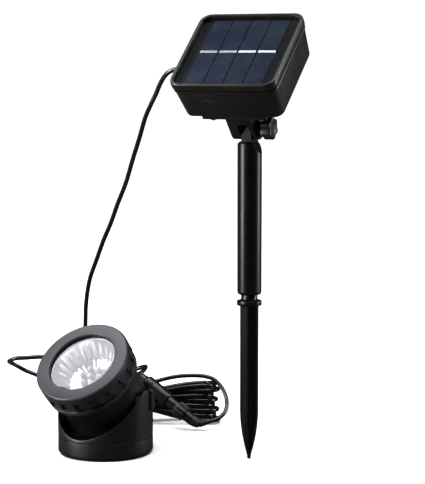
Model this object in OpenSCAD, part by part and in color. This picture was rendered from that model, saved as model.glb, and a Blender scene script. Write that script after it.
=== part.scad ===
// Solar pond spotlight: a tilting underwater lamp on a weighted base, a solar head on a
// ground stake, and the two-part cord that joins them. Millimetres, +Z up.
// Origin: centre of the lamp base's underside. The lamp faces -Y.

/* [Lamp base] */
// Outside diameter of the lamp base
base_d = 73.2; // [72.8:0.2:74]
// Thickness of the base's wall
base_wall = 2.6; // [2.4:0.1:2.8]
// Height of the seam between the bottom cup and the cradle
seam_z = 13.3; // [12.5:0.1:14]
// Height of the cradle's two arms
arm_top = 51; // [49:0.5:52]
// Radius of the round notch that the lamp tips forward through
notch_r = 36.5; // [36:0.1:36.8]
// Height of the notch's centre
notch_z = 52.5; // [52:0.1:54]
// Width of the rear slot for the cord
cord_slot_w = 13; // [12:0.5:15]
// Thickness of the ballast disc
ballast_h = 4.5; // [3:0.5:5]

/* [Lamp head] */
// Height of the lamp's tilt axis
pivot_z = 40; // [39.5:0.1:40.5]
// How far the beam points above level
beam_elevation = 49; // [30:1:85]
// Outside radius of the head's shell
shell_r = 32; // [31.8:0.1:32]
// Outside radius of the screw ring
ring_r = 37.5; // [36.5:0.1:38]
// Distance from the tilt axis to the ring's face
ring_front = 47; // [46:0.5:48]
// Radius of the opening in front of the lens
lens_open_r = 26.6; // [26:0.1:28]
// How many notches the ring has for the fingers
ring_notches = 20; // [12:1:24]
// Radius of one light-emitting diode
led_r = 2.5; // [2:0.1:2.9]

/* [Solar head] */
// Width of the bezel
panel_w = 84; // [83:0.5:86]
// Depth of the bezel
panel_d = 80; // [79:0.5:82]
// Tilt of the panel from level
panel_tilt = 41; // [0:1:90]
// Height of the housing from its floor to the bezel's face
panel_h = 34; // [33.5:0.5:35]
// Distance from the tilt axis down the panel's normal to the housing's floor
hinge_drop = 25.7; // [25:0.1:26.5]
// Distance from the housing's front edge back to the tilt axis
hinge_back = 17; // [16:0.5:18]
// Columns of solar cells
cell_columns = 4; // [3:1:5]

/* [Stake] */
// Distance of the stake from the lamp, across
stake_x = 107; // [105:1:112]
// Distance of the stake from the lamp, back
stake_y = 36; // [34:1:38]
// How far the stake is turned from the lamp's front
stake_yaw = 5.5; // [4.5:0.5:6.5]
// Height of the solar head's tilt axis
hinge_z = 251; // [250:0.5:252]
// Outside radius of the stake's tube
tube_r = 9.1; // [9:0.1:10]
// Width of the spike across its fins
spike_w = 14.2; // [13:0.2:16]

/* [Cord] */
// Diameter of the cord
cord_d = 3.5; // [3.4:0.1:3.6]
// Heading of the folded hank from the lamp's front
cord_yaw = 31; // [30.5:0.1:31.5]

/* [Hidden] */
$fn = 64;
HULL_FN = 32;
TUBE_SIDES = 8;
RUN_FIT = 0.05;          // radial clearance of a pin that turns in its bore
SIDE_GAP = 0.3;          // gap between faces that slide past each other

// Lamp heights, along the beam from the tilt axis
base_r = base_d / 2;
bore_r = base_r - base_wall;
shell_wall = 2.2;
neck_r = shell_r - 0.7;
neck_t = 40.8;           // front end of the shell's neck
ring_rear = 27;          // rear face of the ring
glass_t = 42.4;          // rear face of the glass
glass_h = 2.1;
flange_t = glass_t + glass_h;
ring_bore = shell_r - 0.4;
board_t = 22;            // rear face of the diodes' board
board_h = 1.6;
potting_h = 10;          // resin behind the board
trunnion_r = 4;
pad_x = 33.6;            // inner face of each arm at the pivot
pad_r = 8;
sole_h = 0.8;            // thickness of the foot pad
bottom_floor = 3;        // top of the bottom cup's floor
ballast_screw_r = 24;
slot_low = 17;           // lowest point of the rear slot
grip_low = 34;           // foot of the grips and of the flex slots
gland_angle = 116;       // from the beam round to the cord's exit
lamp_gland_seat = 32.5;  // from the tilt axis to the gland's flat seat
lamp_gland_tip = 47;     // from the tilt axis to the end of the strain relief
cord_gap = 0.12;         // lets the gland's end swing past the end of the cord

// Solar head, local frame: origin on the tilt axis, +Z out of the panel's face
floor_z = hinge_drop;
face_z = hinge_drop + panel_h;
seal_z = face_z - 7.5;
bezel_z = seal_z + 1.2;
board_z = bezel_z + 1.1;
wall_t = 2;
taper = 3;               // the housing's floor is this much smaller on each side
panel_cy = panel_d / 2 - hinge_back - taper;
post_x = 33;
post_y = 30.5;
floor_t = 2.5;
ear_in = 4.3;            // inner faces of the bracket's ears
tongue_x = ear_in - SIDE_GAP;
ear_l = 12;
ear_r = 8;
ear_round = 8.8;
plate_t = 3;
bracket_screw_x = 19;
bracket_screw_y = [-11, 6];
bolt_r = 2.5;
knob_end = 19.5;
panel_gland_at = [-41, 23, floor_z + 11];
panel_gland_tip = -53;
button_at = [-24, 24];
button_r = 4;
cell_area = [61, 70];
cell_gap = 1;
cell_w = (cell_area[0] - (cell_columns - 1) * cell_gap) / cell_columns;
cells_z = board_z + 1.6; // front face of the cells' board
holder = [57.6, 16.8, 11.5];
holder_y = 44;
holder_z = floor_z + floor_t;
holder_wall = 1.3;
cell_r = 7.1;
cell_l = 50;

// Stake heights
spike_top = 118;
coupler_z = 126;
coupler_top = 151;
shoulder_z = 239;

// Cord frame: turned by cord_yaw about the origin. Hank along its X.
hank_at = [12, 101];
hank_left = -44;
hank_right = 77.5;
hank_half = 13;
waist_half = 8;
waist_low = 11;
waist_high = 29;
left_high = 35.5;
right_high = 36;
tie_half = 3;
socket_start = [20, 88, 43.5];
plug_end = [66, 71, 8.5];

// Routes in the cord frame
PANEL_ROUTE = [
    [50.6, -3, 292.3], [46.8, 0.5, 289], [43, 5, 283], [39.5, 9.5, 275], [35.5, 14, 267],
    [31, 20, 257], [26, 29, 241], [20, 39, 223], [14, 50, 204], [7, 60, 187],
    [1, 68, 171], [-6, 77, 155], [-12, 86, 139], [-18, 94, 123], [-21, 101, 110],
    [-23, 108, 96], [-24, 115, 81], [-25, 119, 67], [-25, 121.5, 53], [-25, 122, 39],
    [-24.5, 121.5, 25], [-22, 119.5, 12.5], [-19, 117.5, 5.8], [-15, 114.5, 2.6]];
TAIL_ROUTE = [
    [20, 101, 29.5], [32, 101, 33.5], [44, 101, 37], [55, 100, 39.2], [66, 99, 40],
    [76, 97.5, 39.6], [83, 95.5, 37.8], [89, 92.5, 32.8], [93, 88.5, 26.3],
    [94.5, 84, 20], [93, 78, 14], [88, 73, 10], [82, 70, 8], [77, 69, 7]];
LAMP_ROUTE = [
    [29, 53, 56], [27, 59, 55], [20, 64, 52], [12, 68, 49],
    [4, 72, 45], [-3, 78, 42], [-9, 84, 40], [-15, 91, 38.2], [-22, 96, 37.6],
    [-30, 99, 37.6], [-40, 99, 37.6], [-50, 99, 37.9], [-60, 98, 39.5],
    [-67, 98, 42], [-74, 98, 45], [-80, 96, 49], [-84, 92, 52], [-85, 87, 54],
    [-83, 82, 56], [-79, 79, 58], [-70, 77, 59], [-58, 76, 60], [-46, 76, 60],
    [-34, 77, 60], [-22, 79, 60], [-11, 82, 59], [-1, 86, 57], [6, 89, 54],
    [11, 91, 50]];
BOOT_ROUTE = [[66, 71, 8.5], [70, 70, 6.6], [73, 69.5, 6.2], [77, 69, 7]];
BOOT_RADII = [4.6, 4.3, 3.4, 2.4];

BLACK = [0.07, 0.07, 0.075];
GREY = [0.36, 0.35, 0.38];
DARK = [0.13, 0.13, 0.14];

// ---------- helpers ----------

// Rotations of a point about X and about Z
function about_x(p, a) = [p[0], p[1] * cos(a) - p[2] * sin(a), p[1] * sin(a) + p[2] * cos(a)];
function about_z(p, a) = [p[0] * cos(a) - p[1] * sin(a), p[0] * sin(a) + p[1] * cos(a), p[2]];

// Points on the two glands' axes, in the cord frame: x is the solar head's own, t is the
// distance from the lamp's tilt axis
function panel_gland_point(x) = about_z(
    about_z(about_x([x, panel_gland_at[1], panel_gland_at[2]], panel_tilt), stake_yaw)
    + [stake_x, stake_y, hinge_z], -cord_yaw);
function lamp_gland_point(t) = about_z(
    about_x([0, t * sin(gland_angle), t * cos(gland_angle)], 90 - beam_elevation)
    + [0, 0, pivot_z], -cord_yaw);

module lamp_frame() {
    translate([0, 0, pivot_z]) rotate([90 - beam_elevation, 0, 0]) children();
}

module stake_frame() {
    translate([stake_x, stake_y, 0]) rotate([0, 0, stake_yaw]) children();
}

module solar_frame() {
    stake_frame() translate([0, 0, hinge_z]) rotate([panel_tilt, 0, 0]) children();
}

module cord_frame() {
    rotate([0, 0, cord_yaw]) children();
}

module hank_frame() {
    cord_frame() translate([hank_at[0], hank_at[1], 0]) children();
}

// Stands its children, drawn along +Z, on a line from a to b
module along(a, b) {
    d = b - a;
    translate(a) rotate([0, acos(d[2] / norm(d)), atan2(d[1], d[0])]) children();
}

// A cylinder along X from x0 to x1
module x_cylinder(r, x0, x1) {
    translate([x0, 0, 0]) rotate([0, 90, 0]) cylinder(r = r, h = x1 - x0);
}

// A tube's section, revolved: outer and inner radius, from z0 to z1
module ring_band(r_out, r_in, z0, z1) {
    translate([0, 0, z0]) difference() {
        cylinder(r = r_out, h = z1 - z0);
        translate([0, 0, -1]) cylinder(r = r_in, h = z1 - z0 + 2);
    }
}

// A rectangle with round corners, centred
module round_rect(w, d, r, fn = 64) {
    square([w - 2 * r, d], center = true);
    square([w, d - 2 * r], center = true);
    for (sx = [-1, 1], sy = [-1, 1])
        translate([sx * (w / 2 - r), sy * (d / 2 - r)]) circle(r = r, $fn = fn);
}

module round_slab(w, d, r, z0, z1, fn = 64) {
    translate([0, panel_cy, z0]) linear_extrude(z1 - z0) round_rect(w, d, r, fn);
}

// Sweep of a circle along a route, with radii given for each point
function unit(v) = v / norm(v);
function heading(p, i) = unit(p[min(i + 1, len(p) - 1)] - p[max(i - 1, 0)]);
function across(n, t) = unit(n - (n * t) * t);
function first_side(t) = across(abs(t[2]) > 0.9 ? [1, 0, 0] : [0, 0, 1], t);

module sweep(route, radii) {
    last = len(route) - 1;
    sides = [for (i = 0, n = first_side(heading(route, 0)); i <= last;
                  i = i + 1, n = i <= last ? across(n, heading(route, i)) : n) n];
    rings = [for (i = [0:last], k = [0:TUBE_SIDES - 1])
        let (a = 360 * k / TUBE_SIDES, n = sides[i], m = cross(heading(route, i), n))
        route[i] + radii[i] * (cos(a) * n + sin(a) * m)];
    walls = [for (i = [0:last - 1], k = [0:TUBE_SIDES - 1])
        let (q = (k + 1) % TUBE_SIDES, s = i * TUBE_SIDES)
        [s + k, s + TUBE_SIDES + k, s + TUBE_SIDES + q, s + q]];
    caps = [[for (k = [0:TUBE_SIDES - 1]) k],
            [for (k = [TUBE_SIDES - 1:-1:0]) last * TUBE_SIDES + k]];
    polyhedron(rings, concat(walls, caps), convexity = 10);
}

module cord_tube(route) {
    sweep(route, [for (p = route) cord_d / 2]);
}

// ---------- lamp base ----------

module foot_pad() {
    color([0.03, 0.03, 0.03]) cylinder(r = base_r - 1.6, h = sole_h);
}

module base_bottom() {
    edge = 1.2;
    color(BLACK) difference() {
        rotate_extrude() polygon([
            [0, sole_h], [base_r - edge, sole_h], [base_r, sole_h + edge], [base_r, seam_z],
            [bore_r - 0.1, seam_z], [bore_r - 0.1, seam_z + 2], [bore_r - 1.6, seam_z + 2],
            [bore_r - 1.6, seam_z - 3], [bore_r, seam_z - 4], [bore_r, bottom_floor],
            [0, bottom_floor]]);
        for (a = [90, 210, 330])
            rotate([0, 0, a]) translate([ballast_screw_r, 0, 1.5]) cylinder(r = 1.5, h = 4);
    }
}

module ballast_disc() {
    color([0.30, 0.30, 0.32]) difference() {
        translate([0, 0, bottom_floor]) cylinder(r = bore_r - 0.5, h = ballast_h);
        for (a = [90, 210, 330])
            rotate([0, 0, a]) translate([ballast_screw_r, 0, 2])
                cylinder(r = 1.7, h = ballast_h + 2);
    }
}

module ballast_screws() {
    color([0.62, 0.62, 0.64]) for (a = [90, 210, 330])
        rotate([0, 0, a]) translate([ballast_screw_r, 0, 0]) {
            translate([0, 0, 1.6]) cylinder(r = 1.45, h = 1.4 + ballast_h);
            translate([0, 0, bottom_floor + ballast_h]) difference() {
                cylinder(r = 3, h = 1.5);
                for (turn = [0, 90])
                    rotate([0, 0, turn]) translate([-1.8, -0.35, 0.8]) cube([3.6, 0.7, 2]);
            }
        }
}

module base_cradle() {
    lug_h = arm_top - grip_low;
    color(BLACK) difference() {
        union() {
            difference() {
                translate([0, 0, seam_z]) cylinder(r = base_r, h = arm_top - seam_z);
                translate([0, 0, seam_z - 1]) cylinder(r = bore_r, h = arm_top);
                translate([0, -2, notch_z]) rotate([90, 0, 0])
                    cylinder(r = notch_r, h = base_r);
            }
            // the two arms' bearing pads
            for (side = [0, 180])
                rotate([0, 0, side]) translate([0, 0, pivot_z])
                    x_cylinder(pad_r, pad_x, base_r - 1);
            // raised grips behind the arms
            for (side = [0, 1]) mirror([side, 0, 0])
                rotate([0, 0, 13]) translate([0, 0, grip_low])
                    rotate_extrude(angle = 20)
                        translate([bore_r + 1, 0]) square([base_wall + 0.6, lug_h - 0.5]);
        }
        // flex slots between arm and grip
        for (side = [0, 1]) mirror([side, 0, 0])
            rotate([0, 0, 10]) translate([bore_r - 2, -1, grip_low])
                cube([base_wall + 4, 2, lug_h + 1]);
        // rear slot for the cord
        translate([0, base_r + 2, slot_low + cord_slot_w / 2]) rotate([90, 0, 0])
            cylinder(r = cord_slot_w / 2, h = 10);
        translate([-cord_slot_w / 2, base_r - 8, slot_low + cord_slot_w / 2])
            cube([cord_slot_w, 12, arm_top]);
        // spot faces and blind bores for the lamp's trunnions
        for (side = [0, 180]) rotate([0, 0, side]) translate([0, 0, pivot_z]) {
            x_cylinder(pad_r, pad_x - 4, pad_x);
            x_cylinder(trunnion_r + RUN_FIT, pad_x - 1, pad_x + 2);
        }
    }
}

// ---------- lamp head ----------

module head_shell() {
    dome = [for (a = [90:-10:0]) [14 + 18 * cos(a), -3 - 20 * sin(a)]];
    hollow = [for (a = [0:10:90]) [12.4 + 17.4 * cos(a), -3 - 17.8 * sin(a)]];
    profile = concat(
        [[0, -23]], dome,
        [[shell_r, ring_rear - 0.4], [neck_r, ring_rear - 0.4], [neck_r, neck_t],
         [shell_r - shell_wall, neck_t]],
        hollow, [[0, -20.8]]);
    boss_r = 7.5;
    color(BLACK) lamp_frame() difference() {
        union() {
            rotate_extrude() polygon(profile);
            // trunnions on flat bosses
            for (side = [0, 180]) rotate([0, 0, side]) {
                x_cylinder(boss_r, shell_r - 2, shell_r + 0.3);
                x_cylinder(trunnion_r, shell_r - 2, pad_x + 1.8);
            }
            // bayonet lugs
            for (a = [0:120:240]) rotate([0, 0, a - 6]) rotate_extrude(angle = 12)
                translate([neck_r - 0.5, 29.9]) square([2.1, 2.4]);
            // seat for the cord gland
            rotate([-gland_angle, 0, 0]) translate([0, 0, 28])
                cylinder(r = 6, h = lamp_gland_seat - 28);
        }
        rotate([-gland_angle, 0, 0]) translate([0, 0, 22]) cylinder(r = 3.2, h = 14);
    }
}

module pivot_washers() {
    color([0.5, 0.5, 0.48]) lamp_frame() for (side = [0, 180])
        rotate([0, 0, side]) difference() {
            x_cylinder(6.8, shell_r + 0.3, pad_x - 0.1);
            x_cylinder(trunnion_r + 0.02, shell_r, pad_x + 1);
        }
}

module lens_ring() {
    pitch = 360 / ring_notches;
    color(GREY) lamp_frame() difference() {
        rotate_extrude() polygon([
            [ring_bore, ring_rear], [ring_r - 0.6, ring_rear], [ring_r - 0.6, 30.4],
            [ring_r - 2.2, 30.6], [ring_r - 2.2, 33], [ring_r, 33.4],
            [ring_r, ring_front - 1], [ring_r - 1, ring_front],
            [lens_open_r + 0.6, ring_front], [lens_open_r, ring_front - 0.6],
            [lens_open_r, flange_t], [ring_bore, flange_t]]);
        // L-shaped finger notches
        for (i = [0:ring_notches - 1]) rotate([0, 0, i * pitch]) {
            translate([ring_r - 2, -2.8, 32]) cube([4, 5.6, 9]);
            translate([ring_r - 2, 2.5, 32]) cube([4, 2.2, 4.5]);
        }
        // bayonet tracks, and the entries that open to the rear
        for (a = [0:120:240]) {
            rotate([0, 0, a - 34]) rotate_extrude(angle = 42)
                translate([neck_r, 29.5]) square([2, 3.2]);
            rotate([0, 0, a - 34]) rotate_extrude(angle = 16)
                translate([neck_r, ring_rear - 1]) square([2, 5]);
        }
    }
}

module lens_glass() {
    color([0.86, 0.90, 0.93, 0.35]) lamp_frame() translate([0, 0, glass_t])
        cylinder(r = ring_bore - 0.3, h = glass_h);
}

module lens_seal() {
    color([0.10, 0.10, 0.10]) lamp_frame()
        ring_band(ring_bore - 0.4, shell_r - 3.8, neck_t, glass_t);
}

module reflector() {
    rim_t = neck_t - 1;
    low_t = board_t + board_h;
    steps = 6;
    bowl = [for (i = [0:steps]) let (s = i / steps)
        [13 + 14 * sqrt(s), low_t + 1 + (rim_t - low_t - 1) * s]];
    color([0.88, 0.88, 0.90]) lamp_frame() rotate_extrude() polygon(concat(
        [[13, low_t]], bowl, [[27, neck_t], [29.4, neck_t], [29.4, rim_t]],
        [for (i = [steps:-1:0]) bowl[i] + [1, -0.4]], [[14, low_t]]));
}

module led_board() {
    color([0.92, 0.92, 0.90]) lamp_frame() translate([0, 0, board_t])
        cylinder(r = 20, h = board_h);
}

module led_emitters() {
    base_t = board_t + board_h;
    color([0.95, 0.95, 0.98, 0.6]) lamp_frame() {
        for (i = [0:6]) rotate([0, 0, 60 * i]) translate([i == 6 ? 0 : 7.5, 0, base_t]) {
            cylinder(r = led_r + 0.4, h = 1);
            cylinder(r = led_r, h = 6);
            translate([0, 0, 6]) sphere(r = led_r);
        }
    }
}

module head_potting() {
    color([0.20, 0.20, 0.21]) lamp_frame() translate([0, 0, board_t - potting_h])
        cylinder(r = shell_r - shell_wall, h = potting_h);
}

module lamp_gland() {
    color(DARK) lamp_frame() rotate([-gland_angle, 0, 0]) {
        hex_h = 2.6;
        boot_t = lamp_gland_seat + hex_h;
        translate([0, 0, 25.5]) cylinder(r = 3.15, h = lamp_gland_seat - 25.5);
        translate([0, 0, lamp_gland_seat]) cylinder(r = 5.4, h = hex_h, $fn = 6);
        translate([0, 0, boot_t]) cylinder(r1 = 4, r2 = 2.4, h = lamp_gland_tip - boot_t);
    }
}

// ---------- solar head ----------

module panel_bezel() {
    shelf = [60, 56];
    color(BLACK) solar_frame() difference() {
        hull() {
            round_slab(panel_w - 0.8, panel_d - 0.8, 8.6, bezel_z, bezel_z + 0.2, HULL_FN);
            round_slab(panel_w, panel_d, 9, bezel_z + 0.8, face_z - 1.4, HULL_FN);
            round_slab(panel_w - 2.6, panel_d - 2.6, 7.7, face_z - 0.1, face_z, HULL_FN);
        }
        round_slab(panel_w - 6, panel_d - 6, 6, board_z, face_z + 1);
        round_slab(shelf[0], shelf[1], 4, bezel_z - 1, board_z + 1);
        for (sx = [-1, 1], sy = [-1, 1])
            translate([sx * post_x, panel_cy + sy * post_y, bezel_z - 1])
                cylinder(r = 1.3, h = 3);
    }
}

module pv_board() {
    color([0.05, 0.05, 0.06]) solar_frame()
        round_slab(panel_w - 6.4, panel_d - 6.4, 5.8, board_z, cells_z);
}

module pv_cells() {
    strip = 2.4;
    d = (cell_area[1] - strip) / 2;
    color([0.10, 0.12, 0.24]) solar_frame()
        for (i = [0:cell_columns - 1], row = [0, 1])
            translate([-cell_area[0] / 2 + i * (cell_w + cell_gap),
                       panel_cy - cell_area[1] / 2 + row * (d + strip), cells_z])
                cube([cell_w, d, 0.5]);
}

module pv_busbars() {
    color([0.88, 0.88, 0.90]) solar_frame()
        for (i = [0:cell_columns - 1])
            translate([-cell_area[0] / 2 + i * (cell_w + cell_gap) + 0.4, panel_cy - 1.1,
                       cells_z])
                cube([cell_w - 0.8, 2.2, 0.6]);
}

module pv_cover() {
    color([0.55, 0.58, 0.62, 0.35]) solar_frame()
        round_slab(panel_w - 6.4, panel_d - 6.4, 5.8, cells_z + 0.6, cells_z + 2.2);
}

module housing_seal() {
    color([0.04, 0.04, 0.04]) solar_frame() difference() {
        round_slab(panel_w - 3.5, panel_d - 3.5, 7.5, seal_z, bezel_z);
        round_slab(panel_w - 9, panel_d - 9, 5, seal_z - 1, bezel_z + 1);
        for (sx = [-1, 1], sy = [-1, 1])
            translate([sx * post_x, panel_cy + sy * post_y, seal_z - 1])
                cylinder(r = 3.2, h = 4);
    }
}

module panel_housing() {
    color(BLACK) solar_frame() difference() {
        union() {
            difference() {
                hull() {
                    round_slab(panel_w - 2, panel_d - 2, 8, seal_z - 0.2, seal_z, HULL_FN);
                    round_slab(panel_w - 2 * taper, panel_d - 2 * taper, 7,
                               floor_z + 0.8, floor_z + 1, HULL_FN);
                    round_slab(panel_w - 2 * taper - 1.6, panel_d - 2 * taper - 1.6, 6.2,
                               floor_z, floor_z + 0.2, HULL_FN);
                }
                hull() {
                    round_slab(panel_w - 2 - 2 * wall_t, panel_d - 2 - 2 * wall_t, 6,
                               seal_z, seal_z + 1, HULL_FN);
                    round_slab(panel_w - 2 * taper - 2 * wall_t,
                               panel_d - 2 * taper - 2 * wall_t, 5,
                               floor_z + floor_t, floor_z + floor_t + 0.2, HULL_FN);
                }
            }
            // rim that carries the seal
            difference() {
                round_slab(panel_w - 1, panel_d - 1, 8.5, seal_z - 1.6, seal_z);
                round_slab(panel_w - 8, panel_d - 8, 5, seal_z - 2, seal_z + 1);
            }
            // corner posts
            for (sx = [-1, 1], sy = [-1, 1])
                translate([sx * post_x, panel_cy + sy * post_y, floor_z + 1])
                    cylinder(r = 3, h = bezel_z - floor_z - 1);
            // bosses over the bracket's screws
            for (sx = [-1, 1], y = bracket_screw_y)
                translate([sx * bracket_screw_x, y, floor_z + 1]) cylinder(r = 3, h = 6);
            // seat for the cord gland
            translate([0, panel_gland_at[1], panel_gland_at[2]])
                x_cylinder(5.6, panel_gland_at[0], panel_gland_at[0] + 3);
        }
        for (sx = [-1, 1], sy = [-1, 1])
            translate([sx * post_x, panel_cy + sy * post_y, floor_z - 1]) {
                cylinder(r = 1.45, h = panel_h);
                cylinder(r = 2.9, h = 3.6);
            }
        for (sx = [-1, 1], y = bracket_screw_y)
            translate([sx * bracket_screw_x, y, floor_z - 1]) cylinder(r = 1.35, h = 7);
        translate([button_at[0], button_at[1], floor_z - 1])
            cylinder(r = button_r + 0.1, h = 5);
        translate([0, panel_gland_at[1], panel_gland_at[2]])
            x_cylinder(3, panel_gland_at[0] - 2, panel_gland_at[0] + 8);
    }
}

module housing_screws() {
    color([0.62, 0.62, 0.64]) solar_frame()
        for (sx = [-1, 1], sy = [-1, 1])
            translate([sx * post_x, panel_cy + sy * post_y, floor_z + 0.8]) {
                cylinder(r = 2.6, h = 1.8);
                cylinder(r = 1.25, h = bezel_z - floor_z - 0.1);
            }
}

module battery_holder() {
    color([0.06, 0.06, 0.06]) solar_frame() translate([0, holder_y, holder_z]) difference() {
        translate([-holder[0] / 2, -holder[1] / 2, 0]) cube(holder);
        translate([-holder[0] / 2 + holder_wall, -holder[1] / 2 + holder_wall, holder_wall])
            cube([holder[0] - 2 * holder_wall, holder[1] - 2 * holder_wall, holder[2]]);
    }
}

module battery_cell() {
    color([0.15, 0.35, 0.55]) solar_frame()
        translate([0, holder_y, holder_z + holder_wall + cell_r]) {
            x_cylinder(cell_r, -cell_l / 2, cell_l / 2 - 1);
            x_cylinder(2.7, cell_l / 2 - 1, cell_l / 2);
        }
}

module battery_contacts() {
    inside = holder[0] / 2 - holder_wall;
    color([0.75, 0.72, 0.62]) solar_frame()
        translate([0, holder_y, holder_z + holder_wall + cell_r]) {
            translate([inside - 0.5, -5, -6.5]) cube([0.5, 10, 12]);
            translate([-inside, -5, -6.5]) cube([0.5, 10, 12]);
            x_cylinder(2.2, cell_l / 2, inside - 0.5);
            x_cylinder(4, -inside + 0.5, -cell_l / 2);
        }
}

module control_board() {
    color([0.05, 0.28, 0.12]) solar_frame()
        translate([-12, 3, floor_z + 7]) cube([46, 26, 1.6]);
}

module board_parts() {
    top = floor_z + 8.6;
    color([0.12, 0.12, 0.12]) solar_frame() {
        translate([-4, 10, top]) cylinder(r = 4, h = 4);
        translate([8, 18, top]) cylinder(r = 3, h = 7);
        translate([14, 7, top]) cube([6, 5, 1.5]);
        translate([24, 14, top]) cube([7, 9, 5]);
    }
}

module switch_body() {
    color([0.08, 0.08, 0.08]) solar_frame()
        translate([button_at[0], button_at[1], floor_z + floor_t]) difference() {
            translate([-6, -6, 0]) cube([12, 12, 8.5]);
            translate([0, 0, -1]) cylinder(r = button_r + 0.1, h = 6.5);
        }
}

module switch_button() {
    color([0.16, 0.16, 0.17]) solar_frame()
        translate([button_at[0], button_at[1], floor_z - 1.6]) cylinder(r = button_r, h = 7.4);
}

module panel_gland() {
    x0 = panel_gland_at[0];
    color(DARK) solar_frame() translate([0, panel_gland_at[1], panel_gland_at[2]]) {
        x_cylinder(2.95, x0, x0 + 7);
        translate([x0 - 2.6, 0, 0]) rotate([0, 90, 0]) cylinder(r = 5, h = 2.6, $fn = 6);
        translate([panel_gland_tip, 0, 0]) rotate([0, 90, 0])
            cylinder(r1 = 2.4, r2 = 3.8, h = x0 - 2.6 - panel_gland_tip);
    }
}

// ---------- tilting bracket ----------

module fork_bracket() {
    plate_low = floor_z - plate_t;
    color(BLACK) solar_frame() difference() {
        union() {
            translate([-25.5, -16, plate_low]) cube([51, 28, plate_t]);
            for (ear = [[-ear_l, -ear_in], [ear_in, ear_r]]) {
                x_cylinder(ear_round, ear[0], ear[1]);
                translate([ear[0], -ear_round, 0])
                    cube([ear[1] - ear[0], 2 * ear_round, plate_low]);
            }
            translate([-ear_in, -ear_round, 10])
                cube([2 * ear_in, 2 * ear_round, plate_low - 10]);
            // bosses round the screws
            for (sx = [-1, 1], y = bracket_screw_y)
                translate([sx * bracket_screw_x, y, plate_low - 1.4]) cylinder(r = 4, h = 2);
        }
        x_cylinder(bolt_r + 0.05, -ear_l - 1, ear_r + 1);
        translate([-ear_l - 1, 0, 0]) rotate([0, 90, 0]) cylinder(r = 4.7, h = 4.5, $fn = 6);
        for (sx = [-1, 1], y = bracket_screw_y)
            translate([sx * bracket_screw_x, y, floor_z - 6]) cylinder(r = 1.5, h = 8);
    }
}

module bracket_screws() {
    head_z = floor_z - plate_t - 3.4;
    color([0.62, 0.62, 0.64]) solar_frame() for (sx = [-1, 1], y = bracket_screw_y)
        translate([sx * bracket_screw_x, y, head_z]) {
            cylinder(r = 2.6, h = 2);
            cylinder(r = 1.3, h = floor_z + 5.5 - head_z);
        }
}

module tilt_bolt() {
    color([0.62, 0.62, 0.64]) solar_frame() {
        translate([-ear_l, 0, 0]) rotate([0, 90, 0]) cylinder(r = 4.55, h = 3.5, $fn = 6);
        x_cylinder(bolt_r, -ear_l + 3.5, knob_end - 2.5);
    }
}

module tilt_washer() {
    color([0.5, 0.5, 0.48]) solar_frame() difference() {
        x_cylinder(6, ear_r, ear_r + 0.9);
        x_cylinder(bolt_r + 0.05, ear_r - 1, ear_r + 2);
    }
}

module tilt_knob() {
    lobes = 6;
    x0 = ear_r + 1;
    color(BLACK) solar_frame() difference() {
        union() {
            x_cylinder(6.5, x0, x0 + 2.5);
            translate([x0 + 2.5, 0, 0]) rotate([0, 90, 0])
                linear_extrude(knob_end - x0 - 2.5) {
                    circle(r = 7.1);
                    for (i = [0:lobes - 1]) rotate(360 / lobes * i)
                        translate([6.1, 0]) circle(r = 2.8);
                }
        }
        x_cylinder(bolt_r + RUN_FIT + 0.02, x0 - 1, knob_end - 1.8);
    }
}

// ---------- stake ----------

module stake_tube() {
    tongue_r = 6.5;
    color(BLACK) stake_frame() difference() {
        union() {
            difference() {
                union() {
                    translate([0, 0, coupler_top])
                        cylinder(r = tube_r, h = shoulder_z - coupler_top);
                    translate([0, 0, shoulder_z])
                        cylinder(r1 = tube_r, r2 = tube_r - 1.6, h = 1.6);
                }
                // slanted flat under the knob
                translate([tube_r, -tube_r - 1, shoulder_z - 7]) rotate([0, -32, 0])
                    cube([10, 2 * tube_r + 2, 16]);
            }
            translate([-tongue_x, -tongue_r, shoulder_z - 2])
                cube([2 * tongue_x, 2 * tongue_r, hinge_z - shoulder_z + 2]);
            translate([0, 0, hinge_z]) x_cylinder(tongue_r, -tongue_x, tongue_x);
        }
        translate([0, 0, hinge_z]) x_cylinder(bolt_r + RUN_FIT + 0.02, -9, 9);
        translate([0, 0, coupler_top - 1]) cylinder(r = tube_r - 1.6, h = 80);
    }
}

module stake_coupler() {
    color(BLACK) stake_frame() difference() {
        rotate_extrude() polygon([
            [0, coupler_z], [tube_r - 1.8, coupler_z], [tube_r - 0.5, coupler_z + 0.6],
            [tube_r, coupler_z + 2], [tube_r, coupler_top], [tube_r - 1.65, coupler_top],
            [tube_r - 1.65, coupler_top + 15], [0, coupler_top + 15]]);
        translate([0, 0, coupler_z - 1]) cylinder(r = 5, h = 15);
        translate([0, 0, coupler_z + 18]) cylinder(r = 5.8, h = 30);
    }
}

// Half-width outline of one fin: straight, then an ogive to the tip
module fin_outline() {
    ogive_h = 40;
    w = spike_w;
    r = (ogive_h * ogive_h + w * w / 4) / w;
    intersection() {
        translate([w / 2 - r, ogive_h]) circle(r = r, $fn = 200);
        translate([r - w / 2, ogive_h]) circle(r = r, $fn = 200);
        translate([-w, 0]) square([2 * w, ogive_h]);
    }
    translate([-w / 2, ogive_h]) square([w, spike_top - ogive_h]);
}

module stake_spike() {
    rib = 2.6;
    color(BLACK) stake_frame() {
        for (turn = [0, 90]) rotate([0, 0, turn]) rotate([90, 0, 0])
            translate([0, 0, -rib / 2]) linear_extrude(rib) fin_outline();
        rotate_extrude() polygon([
            [0, 6], [3.2, 30], [3.4, spike_top - 3], [7, spike_top], [tube_r + 0.2, spike_top],
            [tube_r + 0.2, spike_top + 3.4], [6.2, spike_top + 4.4], [6.2, coupler_z],
            [4.9, coupler_z], [4.9, coupler_z + 13], [0, coupler_z + 13]]);
    }
}

// ---------- cord ----------

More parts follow.
